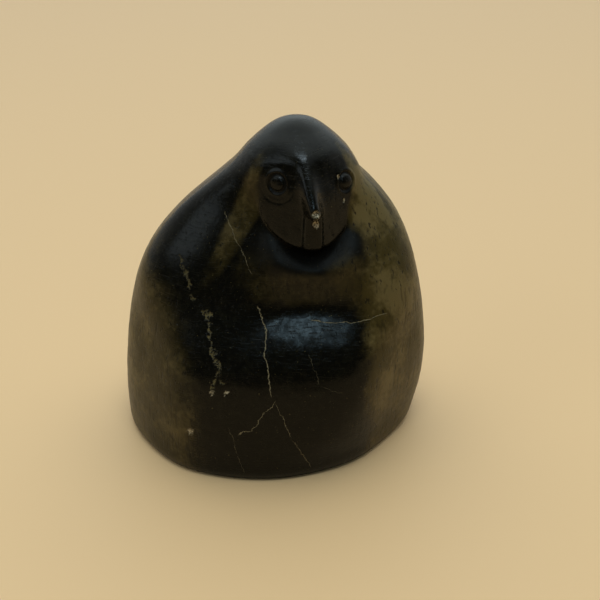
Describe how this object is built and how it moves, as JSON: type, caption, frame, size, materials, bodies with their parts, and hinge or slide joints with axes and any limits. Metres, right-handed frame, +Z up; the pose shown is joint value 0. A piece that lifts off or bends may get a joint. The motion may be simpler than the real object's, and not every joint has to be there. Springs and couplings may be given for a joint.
{
  "type": "soapstone bird carving",
  "caption": "Small polished soapstone carving of a squat hooded bird, its face cut on the front, resting on a flat underside.",
  "frame": {"origin": "centre of the flat underside, on the surface that the carving stands on", "axes": "+Z up; the bird faces -Y; +X is on the right of someone who faces the bird"},
  "size_m": [0.0766, 0.056, 0.081],
  "materials": {
    "soapstone": "hand-rubbed polish over near-black olive-brown soapstone, satin on the flanks and in the neck"
  },
  "bodies": {
    "root": {"bird_carving": "soapstone"}
  },
  "joints": []
}
